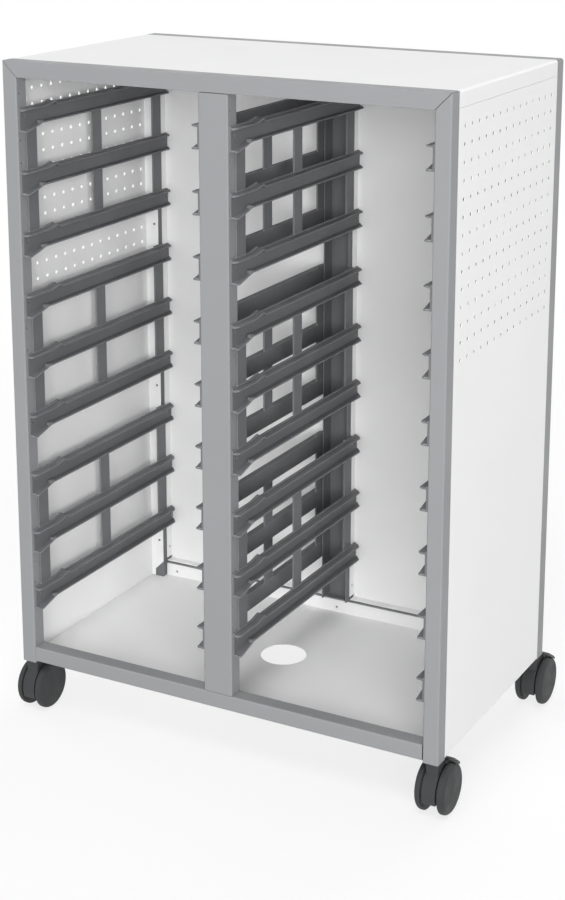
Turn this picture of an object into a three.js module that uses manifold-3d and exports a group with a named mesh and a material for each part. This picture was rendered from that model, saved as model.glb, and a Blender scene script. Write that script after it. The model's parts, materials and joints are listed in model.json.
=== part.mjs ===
import * as THREE from 'three';
import { mergeVertices } from 'three/addons/utils/BufferGeometryUtils.js';
import Module from 'manifold-3d';

const wasm = await Module();
wasm.setup();

// A tray storage cabinet with two bays, on four twin-wheel casters. Millimetres, +Z up.
// Inside the cabinet group x is centred, y runs back from the front face, z up from the rails' underside.

// Cabinet body without its casters
const bodyWidth = 737;
const bodyDepth = 424;
const bodyHeight = 977;

// Clearance between pieces that touch, gauge of the white sheet metal, and how far a cut runs past a face
const fitGap = 0.3;
const sheet = 1.2;
const overcut = 1;

// Grey frame
const frameFace = 25;
const frameDepth = 24.4;
const mullionFace = 49.2;
const tubeWall = 1.5;
const cornerRadius = 4;
const mitreGap = 0.6;
const railGap = 0.8;
const stileDrop = 2.7;

// Dark posts and the lower rail inside the rear frame, measured forward from the cabinet's rear face
const postReach = 31;
const rearRailReach = 18.5;

// Folded top panel, and the pegboard side panels with their inner flanges
const topLip = 24.2;
const topBend = 4;
const flangeSetback = 0.5;
const flangeFoot = 30;
const flangeToe = 8;
const holePitch = 25.4;
const holeDiameter = 5.2;
const holeRows = 14;
const holeMargin = 20;
const firstHoleDrop = 50;

// Back pans and floor pan
const backGap = 2.4;
const floorFlange = 24.5;
const floorHoleDiameter = 75;

// Tray runners, grouped in ladders up each wall
const ladderNames = ['upper', 'middle', 'lower'];
const runnersPerLadder = 3;
const levelPitch = 97.1;
const firstLevelDrop = 73.2;
const runnerFrontInset = 3;
const runnerRearInset = 4;
const webThickness = 3;
const webUpstand = 1.8;
const lipReach = 11.2;
const lipThickness = 2.5;
const lipFrontSetback = 5;
const lipRearSetback = 10;
const channelHeight = 26;
const mouthHeight = 36;
const mouthFlat = 5;
const mouthRamp = 39;
const humpStart = 55;
const humpRise = 22;
const humpFall = 7;
const humpHeight = 4.2;
const stopStart = 31;
const stopLength = 9;
const stopHeight = 5.8;

// Straps of a ladder, and its screw holes
const strapWidth = 26;
const frontStrap = 28.5;
const middleStrap = 205;
const rearStrap = 32.5;
const screwInset = 8.5;
const screwDrop = 10;
const screwHoleDiameter = 5;

// Casters
const casterHeight = 91;
const casterTrail = 20;
const neckRise = 8;
const wheelWidth = 13;
const wheelBoreDepth = 9;
const wheelInnerChamfer = 2;
const treadStart = 2;
const treadEnd = 6;
const wheelShoulder = 4;
const wheelFaceDrop = 8;
const wheelFaceDish = 0.6;
const hoodWidth = 21;
const wheelGap = 1;
const hoodTuck = 1.5;
const hoodSkirtAngle = 22;
const hoodRear = 12;
const hoodRearTop = 30;
const hoodBelly = 12;
const hoodGap = 2.3;
const bossRadius = 11;
const bossHeight = 7;
const neckRear = 22.5;
const neckHeight = 9;
const axleDiameter = 6;
const stemDiameter = 11;
const stemDepth = 12;
const stemInsert = 26;
const collarDiameter = 17;
const socketHeight = 32;
const leverWidth = 46;
const leverArm = 3;
const leverArmHeight = 5;
const leverThickness = 3.2;
const leverReach = 28;
const leverBend = 10;
const leverDrop = 11;
const leverPivotInset = 5.5;
const leverPivotDrop = 4;
const trunnionDiameter = 4;
const leverGap = 0.7;

// Facets of round features
const holeFacets = 6;
const pinFacets = 10;
const wheelFacets = 24;
const arcFacets = 8;
const bendFacets = 4;

// Places that several pieces share
const halfWidth = bodyWidth / 2;
const halfMullion = mullionFace / 2;
const innerWall = halfWidth - frameFace;
const panelFront = frameDepth + fitGap;
const panelRear = bodyDepth - frameDepth - fitGap;
const postFront = bodyDepth - postReach;
const postBack = bodyDepth - tubeWall - fitGap;
const rearRailFront = bodyDepth - rearRailReach;
const openingTop = bodyHeight - frameFace;
const flangeRecess = sheet + fitGap;
const wheelDiameter = casterHeight - stileDrop - hoodGap - neckRise;
const wheelRadius = wheelDiameter / 2;
const axleHeight = wheelRadius - casterHeight;
const hoodTop = wheelRadius + neckRise;

// Turn a closed three.js geometry into a solid that can be joined and cut
const solid = geometry => {
  const bare = new THREE.BufferGeometry();
  bare.setAttribute('position', geometry.getAttribute('position'));
  bare.setIndex(geometry.getIndex());
  const merged = mergeVertices(bare, 1e-4);
  const index = merged.getIndex().array;
  const triangles = [];
  for (let i = 0; i < index.length; i += 3) {
    const [a, b, c] = index.slice(i, i + 3);
    if (a !== b && b !== c && c !== a) triangles.push(a, b, c);
  }
  const vertProperties = new Float32Array(merged.getAttribute('position').array);
  const triVerts = new Uint32Array(triangles);
  return new wasm.Manifold(new wasm.Mesh({ numProp: 3, vertProperties, triVerts }));
};

const geometryOf = body => {
  const mesh = body.getMesh();
  const geometry = new THREE.BufferGeometry();
  geometry.setAttribute('position', new THREE.BufferAttribute(new Float32Array(mesh.vertProperties), 3));
  geometry.setIndex(new THREE.BufferAttribute(new Uint32Array(mesh.triVerts), 1));
  geometry.computeVertexNormals();
  return geometry;
};

// A box between two corners; each pair of limits may be given in either order
const block = (x0, x1, y0, y1, z0, z1) => {
  const geometry = new THREE.BoxGeometry(Math.abs(x1 - x0), Math.abs(y1 - y0), Math.abs(z1 - z0));
  geometry.translate((x0 + x1) / 2, (y0 + y1) / 2, (z0 + z1) / 2);
  return solid(geometry);
};

const outline = (points, holes) => {
  const shape = new THREE.Shape(points.map(([a, b]) => new THREE.Vector2(a, b)));
  shape.holes = holes.map(hole => new THREE.Path(hole.map(([a, b]) => new THREE.Vector2(a, b))));
  return shape;
};

const axisX = new THREE.Vector3(1, 0, 0);
const axisY = new THREE.Vector3(0, 1, 0);
const axisZ = new THREE.Vector3(0, 0, 1);
const backwards = new THREE.Vector3(0, -1, 0);

const extrude = (points, holes, depth) =>
  new THREE.ExtrudeGeometry(outline(points, holes), { depth, bevelEnabled: false });

// Prisms from an outline in (y, z), (x, z) or (x, y)
const alongX = (points, x0, x1, holes = []) => {
  const geometry = extrude(points, holes, Math.abs(x1 - x0));
  geometry.applyMatrix4(new THREE.Matrix4().makeBasis(axisY, axisZ, axisX));
  geometry.translate(Math.min(x0, x1), 0, 0);
  return solid(geometry);
};

const alongY = (points, y0, y1) => {
  const geometry = extrude(points, [], y1 - y0);
  geometry.applyMatrix4(new THREE.Matrix4().makeBasis(axisX, axisZ, backwards));
  geometry.translate(0, y1, 0);
  return solid(geometry);
};

const alongZ = (points, z0, z1, holes = []) => {
  const geometry = extrude(points, holes, z1 - z0);
  geometry.translate(0, 0, z0);
  return solid(geometry);
};

const arc = (cx, cy, radius, from, to, facets) => {
  const points = [];
  for (let i = 0; i <= facets; i += 1) {
    const angle = THREE.MathUtils.degToRad(from + (to - from) * i / facets);
    points.push([cx + radius * Math.cos(angle), cy + radius * Math.sin(angle)]);
  }
  return points;
};

const circle = (cx, cy, diameter, facets) => arc(cx, cy, diameter / 2, 0, 360, facets).slice(0, facets);

const joined = bodies => bodies.reduce((sum, body) => sum.add(body));

const finishes = {
  frame: { color: 0x9fa1a3, roughness: 0.45, metalness: 0.1 },
  panel: { color: 0xebecec, roughness: 0.5, metalness: 0.05 },
  runner: { color: 0x66686a, roughness: 0.55, metalness: 0 },
  caster: { color: 0x505254, roughness: 0.5, metalness: 0 },
  wheel: { color: 0x4a4c4e, roughness: 0.6, metalness: 0 },
  steel: { color: 0xa8aaac, roughness: 0.3, metalness: 0.9 },
};

const place = (parent, name, body, finish) => {
  const mesh = new THREE.Mesh(geometryOf(body), new THREE.MeshStandardMaterial(finishes[finish]));
  mesh.name = name;
  parent.add(mesh);
};

const subgroup = (parent, name) => {
  const child = new THREE.Group();
  child.name = name;
  parent.add(child);
  return child;
};

const group = new THREE.Group();
group.name = 'tray_storage_unit';
const cabinet = subgroup(group, 'cabinet');
cabinet.position.set(0, -bodyDepth / 2 - casterTrail, casterHeight);

const sides = [['left', -1], ['right', 1]];

// Frame members, seen from the front; the upper corners are mitred and slightly rounded
const stileOutline = side => {
  const corner = arc(halfWidth - cornerRadius, bodyHeight - cornerRadius, cornerRadius, 45, 0, bendFacets);
  const points = [[innerWall, -stileDrop], [innerWall, openingTop], ...corner, [halfWidth, -stileDrop]];
  return points.map(([x, z]) => [side * x, z]);
};

const topRailOutline = () => {
  const corner = arc(halfWidth - cornerRadius, bodyHeight - cornerRadius, cornerRadius, 45, 90, bendFacets);
  const [cornerX, cornerZ] = corner[0];
  const right = [[innerWall - mitreGap, openingTop], [cornerX - mitreGap, cornerZ], ...corner.slice(1)];
  const left = right.map(([x, z]) => [-x, z]).reverse();
  return [...right, ...left];
};

const railCavity = (y0, y1, z0, z1) =>
  block(-bodyWidth, bodyWidth, y0 + tubeWall, y1 - tubeWall, z0 + tubeWall, z1 - tubeWall);

const bottomRail = (y0, y1) => {
  const half = innerWall - railGap;
  return block(-half, half, y0, y1, 0, frameFace).subtract(railCavity(y0, y1, 0, frameFace));
};

const topRail = (y0, y1) =>
  alongY(topRailOutline(), y0, y1).subtract(railCavity(y0, y1, openingTop, bodyHeight));

const frontFrame = subgroup(cabinet, 'front_frame');
for (const [name, side] of sides) {
  const cavity = block(
    side * (innerWall + tubeWall), side * (halfWidth - tubeWall),
    tubeWall, frameDepth - tubeWall,
    -stileDrop - overcut, openingTop - tubeWall,
  );
  const stile = alongY(stileOutline(side), 0, frameDepth).subtract(cavity);
  place(frontFrame, `front_${name}_stile`, stile, 'frame');
}
place(frontFrame, 'front_top_rail', topRail(0, frameDepth), 'frame');
place(frontFrame, 'front_bottom_rail', bottomRail(0, frameDepth), 'frame');

const mullionBottom = frameFace + railGap;
const mullionTop = openingTop - railGap;
const mullionCavity = block(
  -halfMullion + tubeWall, halfMullion - tubeWall,
  tubeWall, frameDepth - tubeWall,
  mullionBottom - overcut, mullionTop + overcut,
);
const frontMullion = block(-halfMullion, halfMullion, 0, frameDepth, mullionBottom, mullionTop);
place(frontFrame, 'front_mullion', frontMullion.subtract(mullionCavity), 'frame');

// Rear frame: angle stiles, tube rails, a flat mullion strip, and dark posts inside them
const rearFrame = subgroup(cabinet, 'rear_frame');
const postInner = innerWall + flangeRecess;
const postOuter = halfWidth - tubeWall - fitGap;
for (const [name, side] of sides) {
  const pocket = block(
    side * (innerWall - overcut), side * (halfWidth - tubeWall),
    bodyDepth - frameDepth - overcut, bodyDepth - tubeWall,
    -stileDrop - overcut, openingTop,
  );
  const stile = alongY(stileOutline(side), bodyDepth - frameDepth, bodyDepth).subtract(pocket);
  place(rearFrame, `rear_${name}_stile`, stile, 'frame');
  const bore = block(
    side * (postInner + tubeWall), side * (postOuter - tubeWall),
    postFront + tubeWall, postBack - tubeWall,
    -stileDrop - overcut, openingTop + overcut,
  );
  const post = block(
    side * postInner, side * postOuter, postFront, postBack, -stileDrop, openingTop - fitGap,
  );
  place(rearFrame, `${name}_rear_post`, post.subtract(bore), 'runner');
}
place(rearFrame, 'rear_top_rail', topRail(bodyDepth - frameDepth, bodyDepth), 'frame');
place(rearFrame, 'rear_bottom_rail', bottomRail(rearRailFront, bodyDepth), 'frame');
const rearMullion = block(
  -halfMullion, halfMullion, bodyDepth - tubeWall, bodyDepth, mullionBottom, mullionTop,
);
place(rearFrame, 'rear_mullion', rearMullion, 'frame');
const channelHalf = halfMullion - flangeRecess;
const channelHollow = block(
  -channelHalf + tubeWall, channelHalf - tubeWall,
  postFront - overcut, postBack - tubeWall,
  mullionBottom - overcut, mullionTop + overcut,
);
const channel = block(-channelHalf, channelHalf, postFront, postBack, mullionBottom, mullionTop);
place(rearFrame, 'divider_rear_post', channel.subtract(channelHollow), 'runner');

// Side panels with the pegboard grid and a flange along the front and rear edges
const panels = subgroup(cabinet, 'panels');
const panelTop = bodyHeight - topLip - fitGap;
const holeColumns = Math.floor((panelRear - panelFront - 2 * holeMargin) / holePitch) + 1;
const holes = [];
for (let row = 0; row < holeRows; row += 1) {
  for (let column = 0; column < holeColumns; column += 1) {
    const y = bodyDepth / 2 + (column - (holeColumns - 1) / 2) * holePitch;
    const z = bodyHeight - firstHoleDrop - row * holePitch;
    holes.push(circle(y, z, holeDiameter, holeFacets));
  }
}
const flangeEdge = innerWall + flangeSetback;
const toeEdge = halfWidth - flangeToe;
const toeBottom = sheet + fitGap;
const sheetOutline = [[panelFront, 0], [panelRear, 0], [panelRear, panelTop], [panelFront, panelTop]];
for (const [name, side] of sides) {
  const skin = alongX(sheetOutline, side * (halfWidth - sheet), side * halfWidth, holes);
  const flangeOutline = [
    [side * flangeEdge, flangeFoot],
    [side * flangeEdge, panelTop],
    [side * halfWidth, panelTop],
    [side * halfWidth, toeBottom],
    [side * toeEdge, toeBottom],
    [side * toeEdge, Math.max(flangeFoot - toeEdge + flangeEdge, toeBottom)],
  ];
  const frontFlange = alongY(flangeOutline, panelFront, panelFront + sheet);
  const rearFlange = alongY(flangeOutline, postFront - flangeRecess, postFront - fitGap);
  place(panels, `${name}_side_panel`, joined([skin, frontFlange, rearFlange]), 'panel');
}

// Top panel, folded down over both sides
const foldOutline = (half, top, radius) => {
  const right = arc(half - radius, top - radius, radius, 0, 90, bendFacets);
  const left = right.map(([x, z]) => [-x, z]).reverse();
  return [...right, ...left];
};
const lipBottom = bodyHeight - topLip;
const roofOuter = foldOutline(halfWidth, bodyHeight, topBend);
const roofInner = foldOutline(halfWidth - sheet, bodyHeight - sheet, topBend - sheet);
const roofOutline = [
  [halfWidth, lipBottom], ...roofOuter, [-halfWidth, lipBottom],
  [-halfWidth + sheet, lipBottom], ...[...roofInner].reverse(), [halfWidth - sheet, lipBottom],
];
place(panels, 'top_panel', alongY(roofOutline, panelFront, panelRear), 'panel');

// Floor pan with upturned front and rear edges, notched behind the side flanges
const floorHalf = halfWidth - sheet - fitGap;
const floorRear = rearRailFront - fitGap;
const floorNotch = postFront - flangeRecess - fitGap;
const notchEdge = innerWall - fitGap;
const floorOutline = [
  [-floorHalf, panelFront], [floorHalf, panelFront],
  [floorHalf, floorNotch], [notchEdge, floorNotch],
  [notchEdge, floorRear], [-notchEdge, floorRear],
  [-notchEdge, floorNotch], [-floorHalf, floorNotch],
];
const floorHole = circle(0, bodyDepth / 2, floorHoleDiameter, wheelFacets);
const floorPan = joined([
  alongZ(floorOutline, 0, sheet, [floorHole]),
  block(-notchEdge, notchEdge, panelFront, panelFront + sheet, 0, floorFlange),
  block(-notchEdge, notchEdge, floorRear - sheet, floorRear, 0, floorFlange),
]);
place(panels, 'floor_pan', floorPan, 'panel');

// Back pans, one per bay, with all four edges folded forward
const backBottom = frameFace + backGap;
const backTop = openingTop - backGap;
const backOuter = innerWall + sheet;
const backInner = halfMullion - sheet;
for (const [name, side] of sides) {
  const slab = block(side * backInner, side * backOuter, rearRailFront, postBack, backBottom, backTop);
  const hollow = block(
    side * (backInner + sheet), side * (backOuter - sheet),
    rearRailFront - overcut, postBack - sheet,
    backBottom + sheet, backTop - sheet,
  );
  place(panels, `${name}_back_panel`, slab.subtract(hollow), 'panel');
}

// One channel runner: a web on the wall and two lips, with a flared mouth, a hump and a tray stop
const runnerFront = runnerFrontInset;
const runnerRear = bodyDepth - runnerRearInset;
const rampStart = runnerFront + mouthFlat;
const rampEnd = rampStart + mouthRamp;
const humpFrom = runnerFront + humpStart;
const humpPeak = humpFrom + humpRise;
const humpTo = humpPeak + humpFall;

const upperEdge = z => [
  [runnerFront, z], [humpFrom, z], [humpPeak, z + humpHeight], [humpTo, z], [runnerRear, z],
];
const lowerEdge = z => [
  [runnerFront, z - mouthHeight], [rampStart, z - mouthHeight],
  [rampEnd, z - channelHeight], [runnerRear, z - channelHeight],
];
const rampHeight = y => {
  const share = Math.min(Math.max((y - rampStart) / mouthRamp, 0), 1);
  return share * (mouthHeight - channelHeight) - mouthHeight;
};
const stopFront = runnerFront + stopStart;
const stopRear = stopFront + stopLength;

const runner = (wall, into, level) => {
  const webFace = wall + into * webThickness;
  const lipTip = webFace + into * lipReach;
  const stopTop = level - channelHeight + stopHeight;
  const halfLip = lipThickness / 2;
  const web = alongX([...upperEdge(level + webUpstand), ...lowerEdge(level).reverse()], wall, webFace);
  const upperLip = alongX([...upperEdge(level), ...upperEdge(level - lipThickness).reverse()], wall, lipTip);
  const lowerLip = alongX([...lowerEdge(level), ...lowerEdge(level + lipThickness).reverse()], wall, lipTip);
  const stop = alongX([
    [stopFront, level + rampHeight(stopFront) + halfLip],
    [stopRear, level + rampHeight(stopRear) + halfLip],
    [stopRear, stopTop],
    [stopFront, stopTop],
  ], wall, lipTip);
  const plan = [
    [wall, runnerFront], [webFace, runnerFront],
    [lipTip, runnerFront + lipFrontSetback], [lipTip, runnerRear - lipRearSetback],
    [webFace, runnerRear], [wall, runnerRear],
  ];
  const envelope = alongZ(plan, level - mouthHeight - overcut, level + humpHeight + webUpstand + overcut);
  return joined([web, upperLip, lowerLip, stop]).intersect(envelope);
};

// A ladder: runners one above the other, joined by upright straps and drilled for screws
const strapCentres = [runnerFront + frontStrap, runnerFront + middleStrap, runnerRear - rearStrap];
const screwPlaces = [runnerFront + screwInset, runnerRear - screwInset];

const ladder = (wall, into, top) => {
  const webFace = wall + into * webThickness;
  const levels = Array.from({ length: runnersPerLadder }, (_, i) => top - i * levelPitch);
  const last = levels[levels.length - 1];
  const straps = strapCentres.map(y => block(
    wall, webFace, y - strapWidth / 2, y + strapWidth / 2, last - channelHeight / 2, top - channelHeight / 2,
  ));
  const drills = [top, last].flatMap(level => screwPlaces.map(y => alongX(
    circle(y, level - screwDrop, screwHoleDiameter, holeFacets),
    wall - into * overcut, webFace + into * overcut,
  )));
  const runners = levels.map(level => runner(wall, into, level));
  return joined([...runners, ...straps]).subtract(joined(drills));
};

const walls = [
  ['left_wall', -innerWall + fitGap, 1],
  ['divider_left', -halfMullion - fitGap, -1],
  ['divider_right', halfMullion + fitGap, 1],
  ['right_wall', innerWall - fitGap, -1],
];
const runnerGroup = subgroup(cabinet, 'runners');
for (const [wallName, wall, into] of walls) {
  ladderNames.forEach((ladderName, i) => {
    const top = bodyHeight - firstLevelDrop - i * runnersPerLadder * levelPitch;
    place(runnerGroup, `${wallName}_${ladderName}_ladder`, ladder(wall, into, top), 'runner');
  });
}

// Twin-wheel casters: the profiles below are in (y, z) from the axle, which trails behind the stem
const hoodRadius = wheelRadius - hoodTuck;
const neckFrontY = -casterTrail - bossRadius;
const neckRearY = -casterTrail + neckRear;
const pivotY = neckRearY - leverPivotInset;
const pivotZ = hoodTop - leverPivotDrop;
const wheelInnerFace = hoodWidth / 2 + wheelGap;
const axleHalf = wheelInnerFace + wheelBoreDepth - fitGap;
const neckAngle = THREE.MathUtils.radToDeg(Math.acos(neckFrontY / hoodRadius));
const fromAxle = points => points.map(([y, z]) => [y + casterTrail, z + axleHeight]);

const hood = () => {
  const profile = [
    ...arc(0, 0, hoodRadius, 180 + hoodSkirtAngle, neckAngle, arcFacets),
    [neckFrontY, hoodTop], [neckRearY, hoodTop], [neckRearY, hoodTop - neckHeight],
    [hoodRear, hoodRearTop], [hoodRear, -hoodBelly / 2], [hoodRear / 2, -hoodBelly],
    [-hoodRear / 2, -hoodBelly],
  ];
  const bores = [
    circle(0, 0, axleDiameter + 2 * fitGap, pinFacets),
    circle(pivotY, pivotZ, trunnionDiameter + 2 * fitGap, pinFacets),
  ];
  const core = alongX(fromAxle(profile), -hoodWidth / 2, hoodWidth / 2, bores.map(fromAxle));
  const top = axleHeight + hoodTop;
  const boss = alongZ(circle(0, 0, 2 * bossRadius, pinFacets), top - bossHeight, top);
  const stemBore = circle(0, 0, stemDiameter + 2 * fitGap, pinFacets);
  return core.add(boss).subtract(alongZ(stemBore, top - stemDepth, top + overcut));
};

const stem = () => {
  const top = axleHeight + hoodTop;
  const shaft = alongZ(circle(0, 0, stemDiameter, pinFacets), top - stemDepth + fitGap, stemInsert);
  const collar = alongZ(circle(0, 0, collarDiameter, pinFacets), top + fitGap, -stileDrop - fitGap);
  return shaft.add(collar);
};

const axle = () => alongX(fromAxle(circle(0, 0, axleDiameter, pinFacets)), -axleHalf, axleHalf);

const wheel = side => {
  const bore = axleDiameter / 2 + fitGap;
  const profile = [
    [0, wheelBoreDepth], [bore, wheelBoreDepth], [bore, 0],
    [wheelRadius - wheelInnerChamfer, 0], [wheelRadius, treadStart], [wheelRadius, treadEnd],
    [wheelRadius - wheelShoulder / 2, (treadEnd + wheelWidth) / 2],
    [wheelRadius - wheelFaceDrop, wheelWidth - wheelFaceDish], [0, wheelWidth],
  ];
  const lathe = new THREE.LatheGeometry(profile.map(([r, h]) => new THREE.Vector2(r, h)), wheelFacets);
  lathe.applyMatrix4(new THREE.Matrix4().makeRotationZ(-side * Math.PI / 2));
  lathe.translate(side * wheelInnerFace, casterTrail, axleHeight);
  return solid(lathe);
};

const brakeLever = () => {
  const armInner = hoodWidth / 2 + leverGap;
  const armOuter = armInner + leverArm;
  const paddleFront = neckRearY + leverGap;
  const armTop = pivotZ + leverArmHeight / 2;
  const armProfile = [
    [pivotY - leverArmHeight / 2, armTop - leverArmHeight], [pivotY - leverArmHeight / 2, armTop],
    [paddleFront + overcut, armTop], [paddleFront + overcut, armTop - leverArmHeight],
  ];
  const paddleProfile = [
    [paddleFront, armTop], [leverBend, armTop], [leverReach, armTop - leverDrop],
    [leverReach, armTop - leverDrop - leverThickness], [leverBend, armTop - leverThickness],
    [paddleFront, armTop - leverThickness],
  ];
  const trunnion = fromAxle(circle(pivotY, pivotZ, trunnionDiameter, pinFacets));
  return joined([
    alongX(fromAxle(armProfile), armInner, armOuter),
    alongX(fromAxle(armProfile), -armInner, -armOuter),
    alongX(fromAxle(paddleProfile), -leverWidth / 2, leverWidth / 2),
    alongX(trunnion, -armInner - leverArm / 2, armInner + leverArm / 2),
  ]);
};

// Sockets fill the open lower end of the front stile or rear post around the stem
const socket = (stemX, stemY, x0, x1, y0, y1) => {
  const plug = block(x0, x1, y0, y1, -stileDrop, socketHeight - stileDrop);
  const bore = circle(stemX, stemY, stemDiameter + 2 * fitGap, pinFacets);
  return plug.subtract(alongZ(bore, -stileDrop - overcut, socketHeight));
};

const seat = tubeWall + fitGap;
const rows = [
  ['front', frameDepth / 2, innerWall + seat, halfWidth - seat, seat, frameDepth - seat],
  [
    'rear', bodyDepth - frameDepth / 2,
    postInner + seat, postOuter - seat, postFront + seat, postBack - seat,
  ],
];
const casters = subgroup(cabinet, 'casters');
for (const [end, stemY, inner, outer, plugFront, plugBack] of rows) {
  for (const [name, side] of sides) {
    const stemX = side * (halfWidth - frameFace / 2);
    const prefix = `${end}_${name}_caster`;
    const caster = subgroup(casters, prefix);
    const plug = socket(stemX, stemY, side * inner, side * outer, plugFront, plugBack);
    place(caster, `${prefix}_socket`, plug, 'caster');
    const swivel = subgroup(caster, `${prefix}_swivel`);
    swivel.position.set(stemX, stemY, 0);
    place(swivel, `${prefix}_stem`, stem(), 'steel');
    place(swivel, `${prefix}_hood`, hood(), 'caster');
    place(swivel, `${prefix}_axle`, axle(), 'steel');
    place(swivel, `${prefix}_left_wheel`, wheel(-1), 'wheel');
    place(swivel, `${prefix}_right_wheel`, wheel(1), 'wheel');
    place(swivel, `${prefix}_brake_lever`, brakeLever(), 'caster');
  }
}

export default group;
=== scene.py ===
import json
import math

import bmesh
import bpy
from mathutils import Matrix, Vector


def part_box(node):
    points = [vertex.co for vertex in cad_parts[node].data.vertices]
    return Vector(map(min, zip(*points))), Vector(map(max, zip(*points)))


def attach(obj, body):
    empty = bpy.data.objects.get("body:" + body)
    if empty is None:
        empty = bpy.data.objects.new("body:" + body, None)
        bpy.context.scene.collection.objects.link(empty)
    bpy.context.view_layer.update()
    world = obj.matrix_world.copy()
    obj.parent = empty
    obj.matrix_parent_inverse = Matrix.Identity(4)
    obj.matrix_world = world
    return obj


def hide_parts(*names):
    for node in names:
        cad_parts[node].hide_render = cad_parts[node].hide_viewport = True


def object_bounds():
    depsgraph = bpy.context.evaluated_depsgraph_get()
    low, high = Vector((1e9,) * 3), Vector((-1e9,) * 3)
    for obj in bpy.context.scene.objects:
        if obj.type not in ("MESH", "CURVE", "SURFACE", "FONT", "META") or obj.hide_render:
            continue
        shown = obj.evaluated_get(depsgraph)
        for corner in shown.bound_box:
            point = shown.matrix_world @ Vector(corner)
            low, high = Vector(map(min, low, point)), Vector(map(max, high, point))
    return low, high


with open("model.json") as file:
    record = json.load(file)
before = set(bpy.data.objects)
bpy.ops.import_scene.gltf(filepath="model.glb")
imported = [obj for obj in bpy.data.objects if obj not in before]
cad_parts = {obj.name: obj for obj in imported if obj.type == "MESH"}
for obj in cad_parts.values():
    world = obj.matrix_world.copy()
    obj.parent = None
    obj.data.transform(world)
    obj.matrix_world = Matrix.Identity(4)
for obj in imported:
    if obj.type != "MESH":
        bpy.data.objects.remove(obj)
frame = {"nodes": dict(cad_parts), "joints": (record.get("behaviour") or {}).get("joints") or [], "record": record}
cad_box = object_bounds()
MIDDLE = (cad_box[0] + cad_box[1]) / 2

# Lengths are in metres, those that read best in millimetres multiplied by MM; angles are in degrees
MM = 0.001

# Camera: place, tilt below the horizon, turn from the front, lens and sensor in millimetres, and shift
CAMERA_PLACE = (1.320, -2.458, 1.410)
CAMERA_TILT = 13.59
CAMERA_TURN = 28.47
CAMERA_LENS = 73.4
CAMERA_SENSOR = 36.0
CAMERA_SHIFT = (0.0, -0.2)

# Floor: half its width, its colour as seen and as it lights the object, and the distances over which its
# glow rises from FLOOR_GLOW to full white
FLOOR_HALF = 40.0
FLOOR_CELLS = 8
FLOOR_WHITE = (248, 248, 248)
FLOOR_BOUNCE = (176, 176, 176)
FLOOR_ROUGHNESS = 0.9
FLOOR_GLOW = 0.74
FLOOR_FADE = (0.9, 2.6)

# World: its light on the object, and the backdrop as seen
WORLD_LIGHT = 0.27
BACKDROP_LIGHT = 1.0

# Lamps: direction from the middle of the object, and share of the full light on a face turned to it
LAMP_DISTANCE = 8.0
LAMP_SIZE = (5.0, 3.0)
LAMPS = {
    "front_key": ((0.0, -1.0, 0.12), 0.12),
    "right_key": ((0.57, -0.82, 0.2), 0.83),
    "high_key": ((0.1, -0.5, 0.85), 0.37),
    "top_fill": ((0.1, 0.15, 1.0), 0.07),
    "left_fill": ((-1.0, 0.2, 0.15), 0.5),
    "rear_fill": ((0.1, 1.0, 0.2), 0.5),
}

# Colours of the finishes, from 0 to 255
FRAME_GREY = (144, 145, 147)
PANEL_WHITE = (245, 245, 245)
RUNNER_GREY = (112, 113, 115)
CASTER_GREY = (58, 59, 60)
# The paddles' grey is the caster plastic darkened as painted shade
LEVER_SHADED_GREY = (46, 47, 48)
WHEEL_GREY = (56, 57, 58)
STEEL_GREY = (168, 170, 172)
WHITE = (255, 255, 255)

# What the finishes share: specular level, detail of each noise, scale of the finer ones against the mottle,
# the span that noise mostly keeps to, and strength of the relief
SHEEN = 0.3
NOISE_SPAN = (0.3, 0.7)
CLOUD_DETAIL = 4.0
FRAY_SCALE = 12
FRAY_DETAIL = 3.0
FRAY_LEAST = 0.4
SMEAR_SCALE = 3
SMEAR_DETAIL = 5.0
GRAIN_DETAIL = 3.0
GRAIN_STRENGTH = 0.5

# Edges paler from wear and from painted highlight: width of the paler stretch, and the spans of turn and of
# outward bend that make an edge
WEAR_AND_HIGHLIGHT_WIDTH = 1.2 * MM
WEAR_AND_HIGHLIGHT_SAMPLES = 4
WEAR_AND_HIGHLIGHT_EDGE = (0.86, 0.99)
OUTWARD = (0.495, 0.51)

# Clearance between touching pieces, gauge of the white sheet metal, and how near two corners are one
FIT_GAP = 0.3 * MM
SHEET = 1.2 * MM
WELD = 0.002 * MM

# An edge that turns more than SHARP_EDGE is eased and shaded as sharp; below FLAT_EDGE it is dropped
SHARP_EDGE = 30.0
FLAT_EDGE = 1.0

# Eased edges: width and number of steps
ROUND_PROFILE = 0.5
EASE_STEPS = 2
FRAME_EASE = 2.4 * MM
FRAME_EASE_STEPS = 4
SHEET_EASE = 0.35 * MM
PLASTIC_EASE = 0.9 * MM
PLASTIC_EASE_STEPS = 3

# Mitred corners of the front frame: the open joint, the outer round that is drawn out square, and the least
# slope and area of a mitre cut
MITRE_GAP = 0.3 * MM
CORNER_ROUND = 4 * MM
DIAGONAL = 0.3
MITRE_AREA = 100 * MM * MM

# Pegboard holes of the side panels
PEG_PITCH = 25.4 * MM
PEG_RADIUS = 2.8 * MM
PEG_ROWS = 14
PEG_COLUMNS = 14
PEG_FIRST_DROP = 50 * MM

# Every small hole and pin, and the rim of a hole in sheet metal
HOLE_SEGMENTS = 16
RIM_EASE = 0.25 * MM

# Fixing holes: of the stiles, at heights above the frame's underside, and of the sheet metal
STILE_HOLE_RADIUS = 1.8 * MM
STILE_HOLE_HEIGHTS = [height * MM for height in (135, 170, 524, 559, 820, 855, 927)]
STILE_HOLE_INSET = 7.5 * MM
DRILL_REACH = 2 * MM
PANEL_HOLE_RADIUS = 2.2 * MM
FLANGE_HOLE_HEIGHTS = (70 * MM, 361 * MM, 652 * MM, 930 * MM)
FLANGE_HOLE_INSET = 7.5 * MM
PAN_HOLE_RISE = 24 * MM
PAN_HOLE_INSET = 8 * MM
FLOOR_HOLE_REACH = 323 * MM
FLOOR_HOLE_HEIGHT = 10 * MM

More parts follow.
